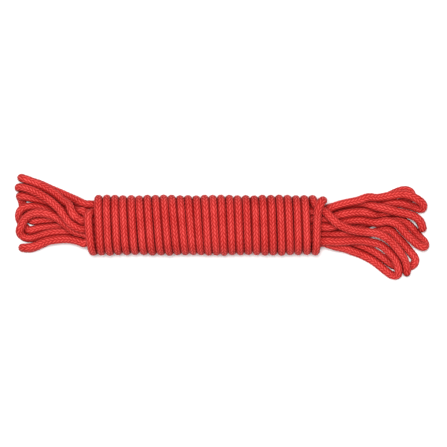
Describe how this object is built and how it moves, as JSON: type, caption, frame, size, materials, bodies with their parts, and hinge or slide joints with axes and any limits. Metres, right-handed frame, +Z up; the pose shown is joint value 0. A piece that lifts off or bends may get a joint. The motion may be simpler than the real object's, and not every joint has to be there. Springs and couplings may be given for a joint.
{
  "type": "coiled dock line",
  "caption": "Braided line folded into a flat hank and wrapped tightly round its middle, with open loops at both ends, for tying up a boat.",
  "frame": {"origin": "under the middle of the whole hank's box, on the surface that the winding rests on", "axes": "+X along the hank, from the small bunch of loops towards the wide one where the tail lies; +Z up from the surface; +Y across"},
  "size_m": [0.4054, 0.1034, 0.0401],
  "materials": {
    "red_line": "braided synthetic yarn with a soft sheen",
    "red_line_inside": "the same braided yarn, out of the light inside the winding"
  },
  "bodies": {
    "root": {"winding": "red_line", "folded_runs": "red_line_inside", "left_loop_1": "red_line", "left_loop_2": "red_line", "left_loop_3": "red_line", "left_loop_4": "red_line", "left_loop_5": "red_line", "left_loop_6": "red_line", "right_loop_1": "red_line", "right_loop_2": "red_line", "right_loop_3": "red_line", "right_loop_4": "red_line", "right_loop_5": "red_line", "right_loop_6": "red_line", "tail": "red_line"}
  },
  "joints": []
}
